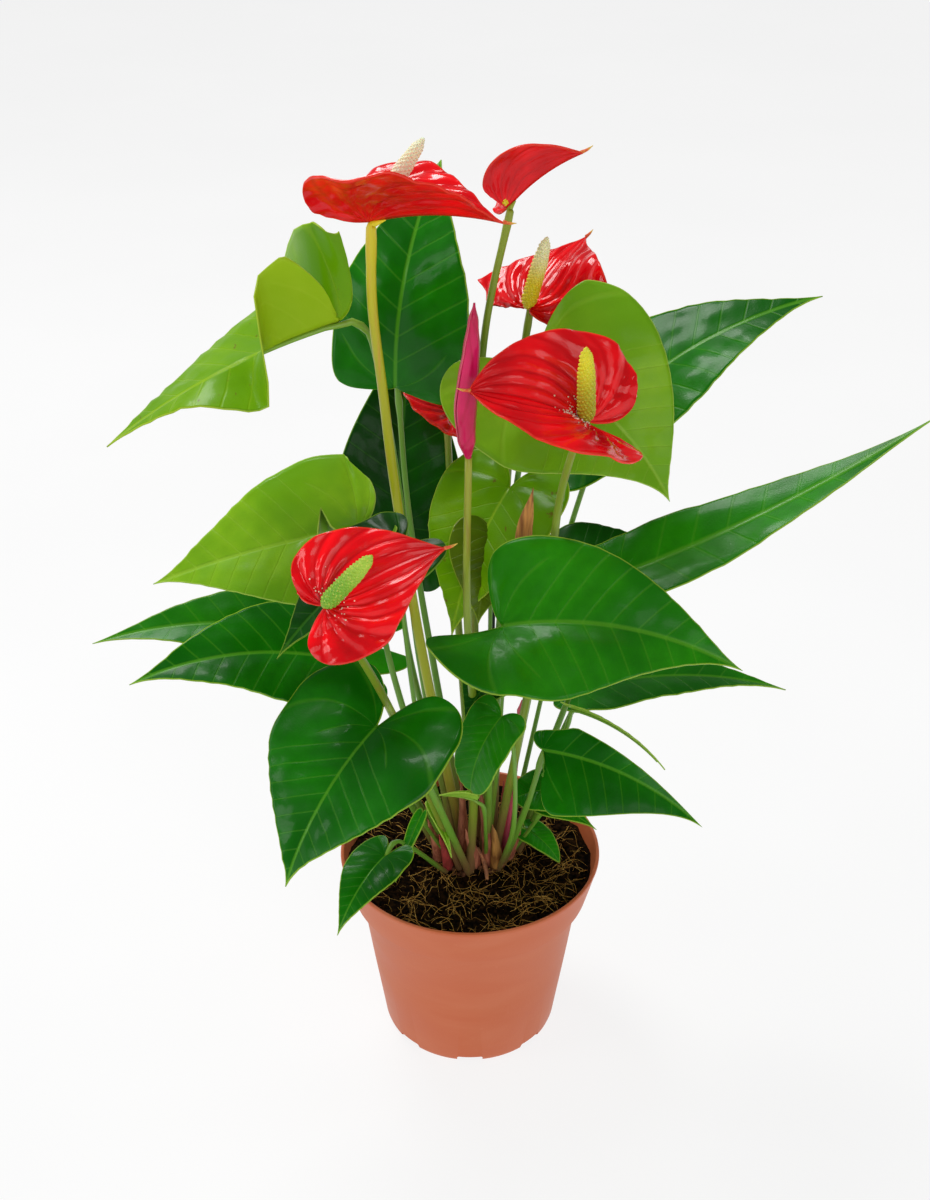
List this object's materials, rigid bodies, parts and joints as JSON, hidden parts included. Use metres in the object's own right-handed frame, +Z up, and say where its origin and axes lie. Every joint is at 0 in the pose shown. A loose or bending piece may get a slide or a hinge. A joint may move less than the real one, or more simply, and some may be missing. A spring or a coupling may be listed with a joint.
{
  "type": "potted anthurium",
  "caption": "Anthurium houseplant with heart-shaped glossy leaves and waxy red flowers on long stalks, growing in soil in a round tapered nursery pot.",
  "frame": {"origin": "centre of the pot's flat underside, on the surface it stands on", "axes": "+Z up, -Y towards the front, which the lowest large heart-shaped leaf hangs over; +X to the viewer's right, towards the longest leaf"},
  "size_m": [0.3485, 0.2099, 0.4288],
  "materials": {
    "pot_plastic": "satin",
    "soil": "matte",
    "crown_bark": "matte",
    "dry_paper": "matte",
    "stake_plastic": "satin",
    "pink_spathe": "gloss",
    "red_spathe": "gloss",
    "spadix": "matte",
    "green_stem": "satin",
    "young_leaf": "satin",
    "mid_leaf": "satin",
    "dark_leaf": "gloss"
  },
  "bodies": {
    "root": {"upper_left_leaf": "young_leaf", "upper_left_leaf_stem": "green_stem", "tall_back_leaf": "dark_leaf", "tall_back_leaf_stem": "green_stem", "shaded_back_leaf": "dark_leaf", "shaded_back_leaf_stem": "green_stem", "left_glossy_leaf": "mid_leaf", "left_glossy_leaf_stem": "green_stem", "low_left_back_leaf": "dark_leaf", "low_left_back_leaf_stem": "green_stem", "low_left_leaf": "dark_leaf", "low_left_leaf_stem": "green_stem", "front_heart_leaf": "dark_leaf", "front_heart_leaf_stem": "green_stem", "right_front_leaf": "dark_leaf", "right_front_leaf_stem": "green_stem", "right_upper_leaf": "dark_leaf", "right_upper_leaf_stem": "green_stem", "right_broad_leaf": "mid_leaf", "right_broad_leaf_stem": "green_stem", "long_right_leaf": "dark_leaf", "long_right_leaf_stem": "green_stem", "middle_young_leaf": "young_leaf", "middle_young_leaf_stem": "green_stem", "low_right_back_leaf": "dark_leaf", "low_right_back_leaf_stem": "green_stem", "low_right_leaf": "dark_leaf", "low_right_leaf_stem": "green_stem", "top_left_spathe": "red_spathe", "top_left_spadix": "spadix", "top_left_stalk": "green_stem", "top_right_spathe": "red_spathe", "top_right_spadix": "spadix", "top_right_stalk": "green_stem", "right_back_spathe": "red_spathe", "right_back_spadix": "spadix", "right_back_stalk": "green_stem", "right_front_spathe": "red_spathe", "right_front_spadix": "spadix", "right_front_stalk": "green_stem", "left_front_spathe": "red_spathe", "left_front_spadix": "spadix", "left_front_stalk": "green_stem", "back_dark_spathe": "red_spathe", "back_dark_spadix": "spadix", "back_dark_stalk": "green_stem", "behind_flower_leaf": "dark_leaf", "right_shaded_leaf": "dark_leaf", "slender_right_leaf": "dark_leaf", "round_middle_leaf": "dark_leaf", "rim_leaf": "dark_leaf", "soil_leaf": "dark_leaf", "furled_spathe": "pink_spathe", "furled_spathe_stalk": "green_stem", "low_bud": "pink_spathe", "dry_sheath": "dry_paper", "support_stake": "stake_plastic", "pot": "pot_plastic", "potting_soil": "soil", "crown": "crown_bark"}
  },
  "joints": []
}
